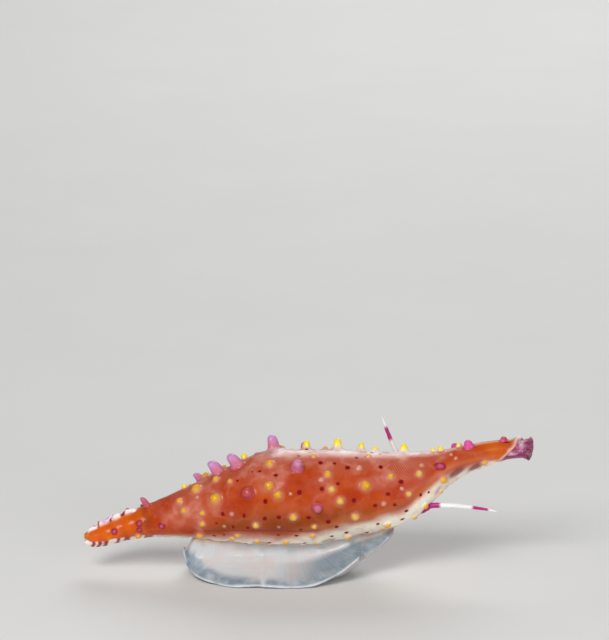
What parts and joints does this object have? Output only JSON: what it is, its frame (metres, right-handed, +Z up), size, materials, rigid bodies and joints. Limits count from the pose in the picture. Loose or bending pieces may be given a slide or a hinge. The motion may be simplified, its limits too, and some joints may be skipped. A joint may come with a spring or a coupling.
{
  "type": "allied cowrie",
  "caption": "Slender sea snail, life size: mantle with small papillae drawn up over a spindle-shaped shell, on a broad spread foot, with head, tentacles and siphon.",
  "frame": {"origin": "on the floor, under the middle of the flat of the foot's sole", "axes": "+X from tail to siphon, the way the animal crawls; +Y to its left; +Z up"},
  "size_m": [0.0441, 0.0113, 0.0141],
  "materials": {
    "mantle_left": "moist, slightly translucent living tissue",
    "mantle_right": "moist, slightly translucent living tissue",
    "tail_spout": "moist, slightly translucent living tissue",
    "front_spout": "moist, slightly translucent living tissue",
    "siphon": "moist, slightly translucent living tissue",
    "foot": "moist, slightly translucent living tissue",
    "head": "moist, slightly translucent living tissue",
    "snout": "moist, slightly translucent living tissue",
    "tentacle_left_root": "moist, slightly translucent living tissue",
    "tentacle_left_tip": "moist, slightly translucent living tissue",
    "tentacle_right_root": "moist, slightly translucent living tissue",
    "tentacle_right_tip": "moist, slightly translucent living tissue",
    "eye_left": "glossy black",
    "eye_right": "glossy black"
  },
  "bodies": {
    "root": {"mantle_left": "mantle_left", "mantle_right": "mantle_right", "tail_spout": "tail_spout", "front_spout": "front_spout", "siphon": "siphon", "foot": "foot", "head": "head", "snout": "snout", "tentacle_left_root": "tentacle_left_root", "tentacle_left_tip": "tentacle_left_tip", "tentacle_right_root": "tentacle_right_root", "tentacle_right_tip": "tentacle_right_tip", "eye_left": "eye_left", "eye_right": "eye_right"}
  },
  "joints": []
}
